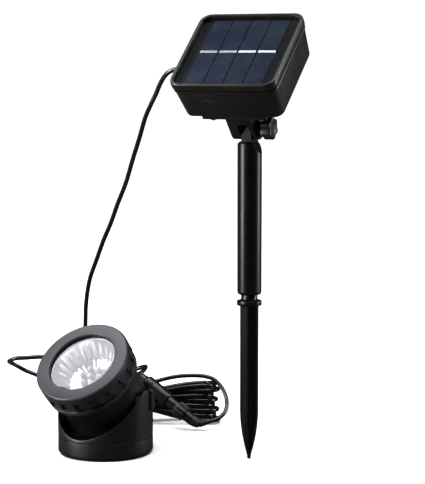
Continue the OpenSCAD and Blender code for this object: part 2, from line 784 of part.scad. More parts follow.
module panel_cord() {
    exit = [panel_gland_point(panel_gland_tip), panel_gland_point(panel_gland_tip - 5)];
    color(BLACK) cord_frame() cord_tube(concat(exit, PANEL_ROUTE));
}

module panel_cord_tail() {
    color(BLACK) cord_frame() cord_tube(TAIL_ROUTE);
}

module lamp_cord() {
    exit = [lamp_gland_point(lamp_gland_tip + cord_gap),
            lamp_gland_point(lamp_gland_tip + 8)];
    color(BLACK) cord_frame() cord_tube(concat(exit, LAMP_ROUTE, [socket_start]));
}

// Closed outer shape of the folded turns: a plan outline cut by a side outline
module cord_hank() {
    left_c = hank_left + hank_half;
    right_c = hank_right - hank_half;
    color(BLACK) hank_frame() intersection() {
        linear_extrude(60) {
            translate([left_c, 0]) circle(r = hank_half);
            translate([right_c, 0]) circle(r = hank_half);
            polygon([
                [left_c, -hank_half], [-4, -waist_half], [4, -waist_half],
                [right_c, -hank_half], [right_c, hank_half], [4, waist_half],
                [-4, waist_half], [left_c, hank_half]]);
        }
        rotate([90, 0, 0]) translate([0, 0, -30]) linear_extrude(60) polygon([
            [hank_left - 1, 0], [-20, 0], [-4, waist_low], [4, waist_low], [45, 0],
            [hank_right + 1, 0], [hank_right + 1, right_high], [45, right_high],
            [4, waist_high], [-4, waist_high], [-20, left_high],
            [hank_left - 1, left_high]]);
    }
}

module cord_tie() {
    t = 1.6;
    color([0.05, 0.05, 0.05]) hank_frame() difference() {
        translate([-tie_half, -waist_half - t, waist_low - t])
            cube([2 * tie_half, 2 * (waist_half + t), waist_high - waist_low + 2 * t]);
        translate([-tie_half - 1, -waist_half, waist_low])
            cube([2 * tie_half + 2, 2 * waist_half, waist_high - waist_low]);
    }
}

module connector_socket() {
    color(BLACK) cord_frame() along(socket_start, plug_end) difference() {
        union() {
            cylinder(r1 = 3.2, r2 = 4.8, h = 10);
            translate([0, 0, 10]) cylinder(r = 6.2, h = 24);
        }
        translate([0, 0, 24]) cylinder(r = 4, h = 12);
    }
}

module connector_plug() {
    long = norm(plug_end - socket_start);
    color(BLACK) cord_frame() along(socket_start, plug_end) {
        translate([0, 0, 25]) cylinder(r = 3.95, h = 9);
        translate([0, 0, 34]) cylinder(r = 4.6, h = long - 34);
    }
}

module coupling_nut() {
    ribs = 12;
    color(DARK) cord_frame() along(socket_start, plug_end) translate([0, 0, 44])
        difference() {
            linear_extrude(9) {
                circle(r = 6.1);
                for (i = [0:ribs - 1]) rotate(360 / ribs * i)
                    translate([6, 0]) circle(r = 0.7);
            }
            translate([0, 0, -1]) cylinder(r = 4.65, h = 12);
        }
}

module plug_boot() {
    color(DARK) cord_frame() sweep(BOOT_ROUTE, BOOT_RADII);
}

foot_pad();
base_bottom();
ballast_disc();
ballast_screws();
base_cradle();
head_shell();
pivot_washers();
lens_ring();
lens_glass();
lens_seal();
reflector();
led_board();
led_emitters();
head_potting();
lamp_gland();
panel_bezel();
pv_board();
pv_cells();
pv_busbars();
pv_cover();
housing_seal();
panel_housing();
housing_screws();
battery_holder();
battery_cell();
battery_contacts();
control_board();
board_parts();
switch_body();
switch_button();
panel_gland();
fork_bracket();
bracket_screws();
tilt_bolt();
tilt_washer();
tilt_knob();
stake_tube();
stake_coupler();
stake_spike();
panel_cord();
cord_hank();
cord_tie();
panel_cord_tail();
lamp_cord();
connector_socket();
connector_plug();
coupling_nut();
plug_boot();
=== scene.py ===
"""Looks of the solar pond spotlight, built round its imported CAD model.

Sizes in the shape code are millimetres in the same local frames as the CAD source;
each piece is scaled to metres as it is placed. +Z is up and the lamp faces -Y.
"""

import math

import bmesh
import bpy
import numpy as np
from mathutils import Matrix, Vector
from mathutils.geometry import tessellate_polygon


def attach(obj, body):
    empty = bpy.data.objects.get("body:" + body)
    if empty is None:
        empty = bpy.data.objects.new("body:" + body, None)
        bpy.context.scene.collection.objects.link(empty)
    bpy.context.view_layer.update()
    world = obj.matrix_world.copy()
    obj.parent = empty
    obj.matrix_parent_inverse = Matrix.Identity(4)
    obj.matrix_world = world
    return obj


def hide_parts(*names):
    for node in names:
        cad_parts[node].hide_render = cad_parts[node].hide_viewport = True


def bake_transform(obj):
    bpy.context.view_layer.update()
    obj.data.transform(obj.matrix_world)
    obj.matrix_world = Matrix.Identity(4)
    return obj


MM = 0.001

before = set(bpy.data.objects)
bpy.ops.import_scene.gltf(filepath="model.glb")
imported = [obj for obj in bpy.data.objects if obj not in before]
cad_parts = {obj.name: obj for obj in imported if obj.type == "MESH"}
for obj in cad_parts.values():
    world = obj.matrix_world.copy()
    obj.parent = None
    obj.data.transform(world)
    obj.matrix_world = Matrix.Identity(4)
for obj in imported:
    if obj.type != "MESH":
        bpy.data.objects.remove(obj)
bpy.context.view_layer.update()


# ---------- frames, as in the CAD source ----------


def turn(axis, degrees):
    """A rotation matrix about an axis."""
    return Matrix.Rotation(math.radians(degrees), 4, axis)


def shift(x, y, z):
    """A translation matrix."""
    return Matrix.Translation((x, y, z))


PIVOT_Z = 40
BEAM_ELEVATION = 49
STAKE_AT = (107, 36)
STAKE_YAW = 5.5
HINGE_Z = 251
PANEL_TILT = 41
CORD_YAW = 31
HANK_AT = (12, 101)

BASE = Matrix.Identity(4)
LAMP = shift(0, 0, PIVOT_Z) @ turn("X", 90 - BEAM_ELEVATION)
STAKE = shift(*STAKE_AT, 0) @ turn("Z", STAKE_YAW)
SOLAR = STAKE @ shift(0, 0, HINGE_Z) @ turn("X", PANEL_TILT)
CORD = turn("Z", CORD_YAW)

CORD_R = 1.75
GLAND_ANGLE = 116
LAMP_GLAND_TIP = 47
PANEL_GLAND_TIP = (-53, 23, 36.7)


def in_frame(point, source, target):
    """A point given in one local frame, in another."""
    return target.inverted() @ source @ Vector(point)


def metres(point, local):
    """A point of a local frame, in the row frame in metres."""
    return (local @ Vector(point)) * MM


# ---------- meshes ----------


def mesh_piece(name, verts, faces, local, body, material, sharp=35):
    """A smooth-shaded mesh drawn in a local frame, riding on a CAD body."""
    data = bpy.data.meshes.new(name)
    data.from_pydata([Vector(v) * MM for v in verts], [], faces)
    data.validate()
    solid = bmesh.new()
    solid.from_mesh(data)
    bmesh.ops.recalc_face_normals(solid, faces=solid.faces)
    solid.to_mesh(data)
    solid.free()
    data.polygons.foreach_set("use_smooth", [True] * len(data.polygons))
    data.set_sharp_from_angle(angle=math.radians(sharp))
    data.materials.append(material)
    piece = bpy.data.objects.new(name, data)
    bpy.context.scene.collection.objects.link(piece)
    placed = local.copy()
    placed.translation *= MM
    piece.matrix_world = placed
    if body:
        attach(piece, body)
    return piece


def join(*parts):
    """Several (verts, faces) as one."""
    verts, faces = [], []
    for v, f in parts:
        faces += [[i + len(verts) for i in face] for face in f]
        verts += list(v)
    return verts, faces


def weld(part):
    """Merges points that coincide."""
    verts, faces = part
    index, kept, lookup = {}, [], []
    for v in verts:
        key = tuple(round(c, 4) for c in v)
        if key not in index:
            index[key] = len(kept)
            kept.append(v)
        lookup.append(index[key])
    tidy = []
    for face in faces:
        face = [lookup[i] for i in face]
        face = [v for i, v in enumerate(face) if v != face[i - 1]]
        if len(face) > 2:
            tidy.append(face)
    return kept, tidy


def moved(part, matrix):
    """A part's (verts, faces) under a matrix."""
    verts, faces = part
    return [matrix @ Vector(v) for v in verts], faces


def grid(rings, caps=False):
    """Quads between rings of equal length, with flat caps if asked."""
    n = len(rings[0])
    verts = [p for ring in rings for p in ring]
    faces = []
    for i in range(len(rings) - 1):
        for k in range(n):
            q = (k + 1) % n
            a, b = i * n, (i + 1) * n
            faces.append([a + k, a + q, b + q, b + k])
    if caps:
        faces.append(list(range(n - 1, -1, -1)))
        last = (len(rings) - 1) * n
        faces.append([last + k for k in range(n)])
    return verts, faces


def fillet(points, radii, steps=3):
    """A polyline with its corners rounded. A radius of 0 leaves a corner as it is."""
    out = []
    for i, (p, r) in enumerate(zip(points, radii)):
        p = Vector(p)
        if r == 0 or i in (0, len(points) - 1):
            out.append(p)
            continue
        a, b = Vector(points[i - 1]) - p, Vector(points[i + 1]) - p
        reach = min(r / math.tan(a.angle(b) / 2), 0.49 * a.length, 0.49 * b.length)
        start, end = p + a.normalized() * reach, p + b.normalized() * reach
        for k in range(steps + 1):
            t = k / steps
            out.append(start * (1 - t) ** 2 + p * 2 * t * (1 - t) + end * t**2)
    return out


def revolve(profile, sides=96):
    """A solid of revolution about Z from (radius, z) points; radius 0 closes an end."""
    verts, faces, rows = [], [], []
    for r, z in profile:
        if r < 1e-6:
            rows.append([len(verts)] * sides)
            verts.append((0, 0, z))
        else:
            rows.append([len(verts) + k for k in range(sides)])
            for k in range(sides):
                a = 2 * math.pi * k / sides
                verts.append((r * math.cos(a), r * math.sin(a), z))
    for low, high in zip(rows, rows[1:]):
        for k in range(sides):
            q = (k + 1) % sides
            face = [low[k], low[q], high[q], high[k]]
            face = [v for i, v in enumerate(face) if v != face[i - 1]]
            if len(face) > 2:
                faces.append(face)
    return verts, faces


def prism(outline, heights):
    """A closed prism from an outline and a list of (z, inset) levels."""
    pts = [Vector((x, y)) for x, y in outline]
    n = len(pts)
    normals = []
    for i in range(n):
        t = (pts[(i + 1) % n] - pts[i - 1]).normalized()
        normals.append(Vector((t.y, -t.x)))
    rings = [[(*(p - m * inset), z) for p, m in zip(pts, normals)] for z, inset in heights]
    return grid(rings, caps=True)


def round_rect(w, d, r, cy=0, steps=6):
    """Outline of a rectangle with round corners, anticlockwise."""
    out = []
    for sx, sy, start in ((1, 1, 0), (-1, 1, 90), (-1, -1, 180), (1, -1, 270)):
        for a in np.linspace(start, start + 90, steps + 1):
            x, y = r * math.cos(math.radians(a)), r * math.sin(math.radians(a))
            out.append((sx * (w / 2 - r) + x, cy + sy * (d / 2 - r) + y))
    return out


def circle(r, sides, at=(0, 0)):
    """Points of a circle, anticlockwise."""
    return [(at[0] + r * math.cos(a), at[1] + r * math.sin(a))
            for a in (2 * math.pi * k / sides for k in range(sides))]


def smooth_path(points, spacing):
    """Even points along a centripetal Catmull-Rom curve through the given ones."""
    p = [Vector(q) for q in points]
    p = [2 * p[0] - p[1]] + p + [2 * p[-1] - p[-2]]
    fine = []
    for a, b, c, d in zip(p, p[1:], p[2:], p[3:]):
        ta = 0
        tb = ta + max((b - a).length, 1e-6) ** 0.5
        tc = tb + max((c - b).length, 1e-6) ** 0.5
        td = tc + max((d - c).length, 1e-6) ** 0.5
        steps = max(2, math.ceil((c - b).length / 0.5))
        for k in range(steps):
            t = tb + (tc - tb) * k / steps
            a1 = a * ((tb - t) / (tb - ta)) + b * ((t - ta) / (tb - ta))
            a2 = b * ((tc - t) / (tc - tb)) + c * ((t - tb) / (tc - tb))
            a3 = c * ((td - t) / (td - tc)) + d * ((t - tc) / (td - tc))
            b1 = a1 * ((tc - t) / (tc - ta)) + a2 * ((t - ta) / (tc - ta))
            b2 = a2 * ((td - t) / (td - tb)) + a3 * ((t - tb) / (td - tb))
            fine.append(b1 * ((tc - t) / (tc - tb)) + b2 * ((t - tb) / (tc - tb)))
    fine.append(p[-2])
    xyz = np.array([list(q) for q in fine])
    along = np.concatenate([[0], np.cumsum(np.linalg.norm(np.diff(xyz, axis=0), axis=1))])
    count = max(2, round(along[-1] / spacing) + 1)
    at = np.linspace(0, along[-1], count)
    return [Vector([np.interp(s, along, xyz[:, i]) for i in range(3)]) for s in at]


def tube(points, radius, sides=12):
    """A tube along points; radius is one number or one for each point."""
    radii = radius if hasattr(radius, "__len__") else [radius] * len(points)
    heading = [(points[min(i + 1, len(points) - 1)] - points[max(i - 1, 0)]).normalized()
               for i in range(len(points))]
    side = heading[0].orthogonal().normalized()
    rings = []
    for p, t, r in zip(points, heading, radii):
        side = (side - t * side.dot(t)).normalized()
        other = t.cross(side)
        rings.append([p + (side * math.cos(a) + other * math.sin(a)) * r
                      for a in (2 * math.pi * k / sides for k in range(sides))])
    return grid(rings, caps=True)


# ---------- materials ----------


class Nodes:
    """A material's node tree, built a node at a time."""

    def __init__(self, name):
        self.material = bpy.data.materials.new(name)
        self.material.use_nodes = True
        self.tree = self.material.node_tree
        self.tree.nodes.clear()
        self.output = self.add("ShaderNodeOutputMaterial")

    def add(self, kind, inputs=(), **settings):
        node = self.tree.nodes.new(kind)
        for key, value in settings.items():
            setattr(node, key, value)
        for key, value in dict(inputs).items():
            if isinstance(value, bpy.types.NodeSocket):
                self.tree.links.new(value, node.inputs[key])
            else:
                node.inputs[key].default_value = value
        return node

    def coordinates(self, stretch=(1, 1, 1)):
        """Object coordinates, which stay with the piece as it moves."""
        source = self.add("ShaderNodeTexCoord").outputs["Object"]
        return self.add("ShaderNodeMapping", {"Vector": source, "Scale": stretch}).outputs[0]

    def noise(self, where, scale, detail=3, rough=0.5):
        return self.add("ShaderNodeTexNoise", {"Vector": where, "Scale": scale, "Detail": detail,
                                               "Roughness": rough}).outputs["Fac"]

    def ramp(self, value, stops):
        node = self.add("ShaderNodeValToRGB", {"Fac": value})
        elements = node.color_ramp.elements
        while len(elements) < len(stops):
            elements.new(0.5)
        for element, (at, colour) in zip(elements, stops):
            element.position = at
            element.color = (*colour, 1)
        return node.outputs["Color"]

    def span(self, value, low, high, from_low=0.3, from_high=0.7):
        return self.add("ShaderNodeMapRange", {
            "Value": value, "From Min": from_low, "From Max": from_high,
            "To Min": low, "To Max": high}).outputs["Result"]

    def math(self, kind, a, b=0.0):
        return self.add("ShaderNodeMath", {0: a, 1: b}, operation=kind).outputs[0]

    def bump(self, height, distance, strength=1.0, edge=0.0):
        """A bump of real depth in millimetres, on edges softened by edge millimetres."""
        inputs = {"Height": height, "Distance": distance * MM, "Strength": strength}
        if edge:
            bevel = self.add("ShaderNodeBevel", {"Radius": edge * MM}, samples=6)
            inputs["Normal"] = bevel.outputs["Normal"]
        return self.add("ShaderNodeBump", inputs).outputs["Normal"]

    def principled(self, inputs):
        shader = self.add("ShaderNodeBsdfPrincipled", inputs)
        self.tree.links.new(shader.outputs["BSDF"], self.output.inputs["Surface"])
        return shader


def scaled(colour, factor):
    """A colour made darker or lighter."""
    return tuple(min(1, c * factor) for c in colour)


def plastic(name, colour, rough=0.4, spread=0.06, grain=900, depth=0.03, edge=0.35,
            cloud=0.25, specular=0.5, stretch=(1, 1, 1)):
    """Moulded plastic: fine spark texture, cloudy gloss, slightly uneven colour."""
    n = Nodes(name)
    where = n.coordinates(stretch)
    clouds = n.noise(where, 55, 4)
    fine = n.noise(where, grain, 2, 0.6)
    tint = n.ramp(clouds, [(0.3, scaled(colour, 1 - cloud)), (0.7, scaled(colour, 1 + cloud))])
    gloss = n.span(n.math("ADD", clouds, n.math("MULTIPLY", fine, 0.35)),
                   rough - spread, rough + spread, 0.35, 0.95)
    n.principled({"Base Color": tint, "Roughness": gloss, "Specular IOR Level": specular,
                  "Normal": n.bump(fine, depth, 0.6, edge)})
    return n.material


def metal(name, colour, rough, spread=0.1, scale=300, depth=0.01, purity=1.0):
    """Metal with fine brushed or cast variation."""
    n = Nodes(name)
    where = n.coordinates()
    fine = n.noise(where, scale, 5, 0.65)
    tint = n.ramp(fine, [(0.3, scaled(colour, 0.8)), (0.7, scaled(colour, 1.05))])
    n.principled({"Base Color": tint, "Metallic": purity,
                  "Roughness": n.span(fine, rough - spread, rough + spread),
                  "Normal": n.bump(fine, depth, 0.5, edge=0.15)})
    return n.material


def clear(name, tint, gloss_rough):
    """A thin clear part: seen through, with a slightly wavy Fresnel gloss."""
    n = Nodes(name)
    smear = n.noise(n.coordinates(), 120, 3)
    wavy = n.bump(smear, 0.02, 0.3)
    through = n.add("ShaderNodeBsdfTransparent", {"Color": (*tint, 1)}).outputs[0]
    shine = n.add("ShaderNodeBsdfGlossy", {"Color": (1, 1, 1, 1), "Roughness": gloss_rough,
                                           "Normal": wavy}).outputs[0]
    front = n.math("SUBTRACT", 1.0, n.add("ShaderNodeNewGeometry").outputs["Backfacing"])
    fresnel = n.add("ShaderNodeFresnel", {"IOR": 1.45, "Normal": wavy}).outputs[0]
    share = n.math("MULTIPLY", fresnel, front)
    mixed = n.add("ShaderNodeMixShader", {0: share, 1: through, 2: shine})
    n.tree.links.new(mixed.outputs[0], n.output.inputs["Surface"])
    return n.material


def silicon(name):
    """Blue-black cells: fine contact fingers across, grains of slightly different blue."""
    n = Nodes(name)
    where = n.coordinates()
    grey = n.noise(where, 60, 4, 0.6)
    base = n.ramp(grey, [(0.3, (0.018, 0.022, 0.036)), (0.5, (0.022, 0.027, 0.041)),
                         (0.7, (0.020, 0.031, 0.042))])
    along = n.add("ShaderNodeSeparateXYZ", {0: where}).outputs["Y"]
    stripe = n.math("FRACT", n.math("MULTIPLY", along, 1 / (2.2 * MM)))
    finger = n.math("LESS_THAN", stripe, 0.07)
    tint = n.add("ShaderNodeMix", {"Factor": finger, 6: base, 7: (0.03, 0.033, 0.055, 1)},
                 data_type="RGBA").outputs[2]
    n.principled({"Base Color": tint, "Roughness": n.span(grey, 0.2, 0.32),
                  "Specular IOR Level": 0.4})
    return n.material


# One finish for each material slot of the record
M = {
    "foot_rubber": plastic("foot_rubber", (0.02, 0.02, 0.02), 0.75, grain=500, depth=0.08),
    "lamp_plastic": plastic("lamp_plastic", (0.004, 0.004, 0.0045), 0.42, 0.08, specular=0.45),
    "ring_plastic": plastic("ring_plastic", (0.035, 0.033, 0.040), 0.38, 0.07, specular=0.32),
    "washer_plastic": plastic("washer_plastic", (0.02, 0.02, 0.02), 0.45),
    "ballast_iron": metal("ballast_iron", (0.32, 0.31, 0.30), 0.6, 0.12, scale=400, depth=0.1),
    "screw_steel": metal("screw_steel", (0.62, 0.62, 0.64), 0.28, 0.08),
    "lens_clear": clear("lens_clear", (0.97, 0.98, 0.99), 0.02),
    "seal_rubber": plastic("seal_rubber", (0.018, 0.018, 0.018), 0.7, grain=600),
    "reflector_chrome": metal("reflector_chrome", (0.74, 0.73, 0.78), 0.16, 0.05, depth=0.004,
                              purity=0.92),
    "led_board_white": plastic("led_board_white", (0.82, 0.83, 0.82), 0.4, cloud=0.05),
    "led_clear": plastic("led_clear", (0.14, 0.14, 0.17), 0.08, 0.03, cloud=0.1,
                         depth=0.003),
    "potting_resin": plastic("potting_resin", (0.03, 0.03, 0.03), 0.2),
    "boot_rubber": plastic("boot_rubber", (0.007, 0.007, 0.007), 0.45, grain=700),
    "solar_plastic": plastic("solar_plastic", (0.0075, 0.0075, 0.0055), 0.36, 0.07, depth=0.012,
                             edge=0),
    "pv_backing": plastic("pv_backing", (0.004, 0.004, 0.003), 0.4, edge=0, specular=0.3),
    "pv_silicon": silicon("pv_silicon"),
    "pv_busbar": plastic("pv_busbar", (0.62, 0.61, 0.62), 0.35, cloud=0.08, edge=0),
    "pv_resin": clear("pv_resin", (0.93, 0.95, 0.98), 0.06),
    "inner_plastic": plastic("inner_plastic", (0.03, 0.03, 0.03), 0.5),
    "cell_wrap": plastic("cell_wrap", (0.05, 0.18, 0.32), 0.25),
    "contact_metal": metal("contact_metal", (0.75, 0.70, 0.55), 0.3),
    "circuit_green": plastic("circuit_green", (0.02, 0.14, 0.05), 0.3),
    "component_black": plastic("component_black", (0.02, 0.02, 0.02), 0.35),
    "stake_plastic": plastic("stake_plastic", (0.0015, 0.0015, 0.0013), 0.34, 0.05, specular=0.32,
                             stretch=(1, 1, 0.35)),
    "cord_pvc": plastic("cord_pvc", (0.005, 0.005, 0.005), 0.22, 0.05, grain=500, depth=0.05,
                        edge=0),
    "tie_plastic": plastic("tie_plastic", (0.016, 0.016, 0.015), 0.3),
    "connector_plastic": plastic("connector_plastic", (0.006, 0.006, 0.0055), 0.3, 0.06),
}


def dress_cad_nodes():
    """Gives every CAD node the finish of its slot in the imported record."""
    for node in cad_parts.values():
        for holder in node.material_slots:
            holder.material = M[holder.material.name]


def soften(node, width):
    """Rounds a CAD node's sharp edges by width millimetres, as moulding does."""
    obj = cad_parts[node]
    close = obj.modifiers.new("weld", "WELD")
    close.merge_threshold = 0.002 * MM
    merge = obj.modifiers.new("merge", "DECIMATE")
    merge.decimate_type = "DISSOLVE"
    merge.angle_limit = math.radians(1)
    bevel = obj.modifiers.new("bevel", "BEVEL")
    bevel.width = width * MM
    bevel.segments = 2
    bevel.limit_method = "ANGLE"
    bevel.angle_limit = math.radians(35)
    bevel.harden_normals = True


def stand_in(name, part, local, body, node, slot, sharp=35):
    """A piece that stands for a CAD node, in the finish of a record slot."""
    piece = mesh_piece(name, *part, local, body, M[slot], sharp)
    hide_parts(node)
    return piece


# ---------- cords ----------

# Routes of the two cords, as in the CAD source
PANEL_ROUTE = [
    (50.6, -3, 292.3), (46.8, 0.5, 289), (43, 5, 283), (39.5, 9.5, 275), (35.5, 14, 267),
    (31, 20, 257), (26, 29, 241), (20, 39, 223), (14, 50, 204), (7, 60, 187),
    (1, 68, 171), (-6, 77, 155), (-12, 86, 139), (-18, 94, 123), (-21, 101, 110),
    (-23, 108, 96), (-24, 115, 81), (-25, 119, 67), (-25, 121.5, 53), (-25, 122, 39),
    (-24.5, 121.5, 25), (-22, 119.5, 12.5), (-19, 117.5, 5.8), (-15, 114.5, 2.6)]
TAIL_ROUTE = [
    (20, 101, 29.5), (32, 101, 33.5), (44, 101, 37), (55, 100, 39.2), (66, 99, 40),
    (76, 97.5, 39.6), (83, 95.5, 37.8), (89, 92.5, 32.8), (93, 88.5, 26.3), (94.5, 84, 20),
    (93, 78, 14), (88, 73, 10), (82, 70, 8), (77, 69, 7)]
LAMP_ROUTE = [
    (29, 53, 56), (27, 59, 55), (20, 64, 52), (12, 68, 49), (4, 72, 45), (-3, 78, 42),
    (-9, 84, 40), (-15, 91, 38.2), (-22, 96, 37.6), (-30, 99, 37.6), (-40, 99, 37.6),
    (-50, 99, 37.9), (-60, 98, 39.5), (-67, 98, 42), (-74, 98, 45), (-80, 96, 49),
    (-84, 92, 52), (-85, 87, 54), (-83, 82, 56), (-79, 79, 58), (-70, 77, 59),
    (-58, 76, 60), (-46, 76, 60), (-34, 77, 60), (-22, 79, 60), (-11, 82, 59),
    (-1, 86, 57), (6, 89, 54), (11, 91, 50)]
SOCKET_START = (20, 88, 43.5)
PLUG_END = (66, 71, 8.5)
BOOT_ROUTE = [(66, 71, 8.5), (70, 70, 6.6), (73, 69.5, 6.2), (77, 69, 7)]
BOOT_RADII = [4.6, 4.3, 3.4, 2.4]

TURNS = 8
LOOP_R = 11.25
LEFT_END = -44 + CORD_R + LOOP_R
RIGHT_END = 77.5 - CORD_R - LOOP_R
FLOOR_Z = CORD_R + 0.15
RIGHT_RISE = 4.2
LEFT_RISE = 3.95
TIE_HALF = 3
TIE_PITCH = 3.7
TIE_LOW_Z = 12.9
TIE_TOP_Z = 27.2
# How far each turn's right-hand loop falls short of the longest one
SHORT_BY = [0, 3.5, 1, 4.5, 2, 5.5, 0.5, 3]


def smoothstep(t):
    """0 to 1 with flat ends."""
    t = max(0.0, min(1.0, t))
    return t * t * (3 - 2 * t)


def hank_strand(k, x, side):
    """Where strand k of the hank lies at x, on its back (side 1) or front (side -1).

    Strands go through the tie in four rows of four. From there each pair turns over,
    a cord's width apart, until it stands one above the other at the hank's ends.
    """
    rise, end = (RIGHT_RISE, RIGHT_END) if x > 0 else (LEFT_RISE, -LEFT_END)
    s = smoothstep((abs(x) - TIE_HALF) / (end - TIE_HALF))
    pair, outer = divmod(k, 2)
    y = TIE_PITCH * (1 - s) + LOOP_R * s
    level = 2 * pair + (0.5 if side > 0 else 1)
    z = (TIE_LOW_Z + TIE_PITCH * pair) * (1 - s) + (FLOOR_Z + rise * level) * s
    half = (TIE_PITCH * (1 - s) + rise * s) / 2 * (1 if outer else -1)
    angle = math.pi / 2 * s
    return Vector((x, side * (y + half * math.cos(angle)), z + half * math.sin(angle)))


def hank_path():
    """The hank's turns from the first back strand to where the tail leaves, hank frame."""
    stations = [-28, -24, -20, -16, -12, -8, -4, 0, 4, 9, 15, 22, 29, 36, 43, 50, 57, 62]
    arc = np.linspace(0, math.pi, 9)
    path = []
    for k in range(TURNS):
        end = RIGHT_END - SHORT_BY[k]
        outward = [x for x in stations if x < end - 2 and (k > 0 or x > -24)]
        inward = [x for x in reversed(stations) if x < end - 2]
        path += [hank_strand(k, x, 1) for x in outward]
        path += [Vector((end + LOOP_R * math.sin(a), LOOP_R * math.cos(a),
                         FLOOR_Z + RIGHT_RISE * (k + a / math.pi / 2))) for a in arc]
        path += [hank_strand(k, x, -1) for x in inward]
        path += [Vector((LEFT_END - LOOP_R * math.sin(a), -LOOP_R * math.cos(a),
                         FLOOR_Z + LEFT_RISE * (k + 0.5 + a / math.pi / 2))) for a in arc]
    path += [Vector(p) for p in ((-24, 8.5, 34.6), (-16, 4.5, 31.8), (-8, 1.2, 28.8),
                                 (0, 0, TIE_TOP_Z))]
    return path


def cord_piece(name, local_points):
    """A cord's tube along a smooth path through the given points, in the row frame."""
    points = smooth_path(local_points, 1.5)
    piece = mesh_piece(name, *tube(points, CORD_R), CORD, None, M["cord_pvc"], sharp=60)
    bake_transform(piece)
    return piece, [metres(p, CORD) for p in points]


panel_exit, panel_lead = (
    in_frame(Vector(PANEL_GLAND_TIP) + Vector((x, 0, 0)), SOLAR, CORD) for x in (0, -5))
gland_turn = math.radians(GLAND_ANGLE)
lamp_exit, lamp_lead = (
    in_frame((0, t * math.sin(gland_turn), t * math.cos(gland_turn)), LAMP, CORD)
    for t in (LAMP_GLAND_TIP, LAMP_GLAND_TIP + 8))
hank_in_cord = [p + Vector((*HANK_AT, 0)) for p in hank_path()]

# The lamp cord comes back close to its gland, then runs on so that its far end stays in the
# connector
panel_cord, panel_line = cord_piece(
    "panel_cord_run", [panel_exit, panel_lead, *PANEL_ROUTE, *hank_in_cord, *TAIL_ROUTE])
lamp_cord, lamp_line = cord_piece(
    "lamp_cord_run", [lamp_exit, lamp_lead, *LAMP_ROUTE, SOCKET_START])
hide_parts("panel_cord", "cord_hank", "panel_cord_tail")
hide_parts("lamp_cord")

dress_cad_nodes()
for node, width in (("fork_bracket", 0.7), ("stake_spike", 0.4), ("cord_tie", 0.4),
                    ("lamp_gland", 0.4)):
    soften(node, width)

# ---------- lamp base ----------

BASE_R = 36.6
BORE_R = 34.0
FLOOR_OF_CUP = 3
SEAM_Z = 13.3
ARM_TOP = 51
NOTCH_R = 36.5
NOTCH_Z = 52.5
NOTCH_FROM_Y = -2
CORD_SLOT_HALF = 6.5
CORD_SLOT_Z = 23.5
GRIP_LOW = 34
FLEX_AT = 10
FLEX_HALF = 1
GRIP_AT = 23
PIVOT_PAD_R = 7.4


def cradle_top(x, y):
    """Height of the cradle's wall over a point of its plan."""
    if y > 0 and abs(x) < CORD_SLOT_HALF:
        return CORD_SLOT_Z - math.sqrt(CORD_SLOT_HALF**2 - x * x)
    off = math.radians(FLEX_AT)
    if y > 0 and abs(y * math.cos(off) - abs(x) * math.sin(off)) < FLEX_HALF:
        return GRIP_LOW
    if y < NOTCH_FROM_Y and abs(x) < NOTCH_R:
        return min(ARM_TOP, NOTCH_Z - math.sqrt(NOTCH_R**2 - x * x))
    return ARM_TOP


def cradle_mesh():
    """The cradle's wall: columns round it, each up the outside, over the top and down."""
    angles = [float(a) for a in np.arange(-180, 180, 1.5)]
    flex = math.degrees(FLEX_HALF / BASE_R)
    slot = math.degrees(math.asin(CORD_SLOT_HALF / BASE_R))
    # a pair of columns close together at each side of a slot, for its upright wall
    for middle, half in ((FLEX_AT, flex), (180 - FLEX_AT, flex), (90, slot)):
        for edge in (middle - half, middle + half):
            angles = [a for a in angles if abs(a - edge) > 0.7]
            angles += [edge - 0.12, edge + 0.12]
    # radius, whether it goes with the top (1) or the seam (0), and how far above that it is
    section = [(BASE_R - 0.35, 0, 0), (BASE_R, 0, 0.35), (BASE_R, 1, -3), (BASE_R, 1, -0.7),
               (BASE_R - 0.08, 1, -0.4), (BASE_R - 0.25, 1, -0.15), (BASE_R - 0.55, 1, 0),
               (BASE_R - 1.3, 1, 0), (BORE_R + 0.5, 1, 0), (BORE_R + 0.2, 1, -0.15),
               (BORE_R, 1, -0.5), (BORE_R, 0, 0)]
    rings = []
    for r, top, rise in section:
        ring = []
        for a in sorted(angles):
            x, y = r * math.cos(math.radians(a)), r * math.sin(math.radians(a))
            ring.append((x, y, rise + (cradle_top(x, y) if top else SEAM_Z)))
        rings.append(ring)
    return weld(grid(rings + rings[:1]))


def grip_mesh(side):
    """A raised thumb grip on the cradle's wall, with three shallow ribs."""
    plate = prism(round_rect(12.6, 16.4, 1.4, 42.2, 4),
                  [(35.2, 0), (37.4, 0), (37.9, 0.15), (38.2, 0.6)])
    rib = prism(round_rect(8.5, 1.2, 0.6, 0, 3), [(38.1, 0), (38.35, 0.1), (38.45, 0.35)])
    verts, faces = join(plate, *(moved(rib, shift(0, z, 0)) for z in (38.5, 42.2, 45.9)))
    bent = []
    for across, z, r in verts:
        a = math.radians(GRIP_AT) + across / BASE_R
        bent.append((side * r * math.cos(a), r * math.sin(a), z))
    return bent, faces


def pad_mesh(side):
    """The flat pad that an arm bears on the lamp's washer with."""
    pad = prism(circle(PIVOT_PAD_R, 48), [(33.6, 0.2), (33.8, 0), (35, 0)])
    return moved(pad, shift(0, 0, PIVOT_Z) @ turn("Y", 90 * side))


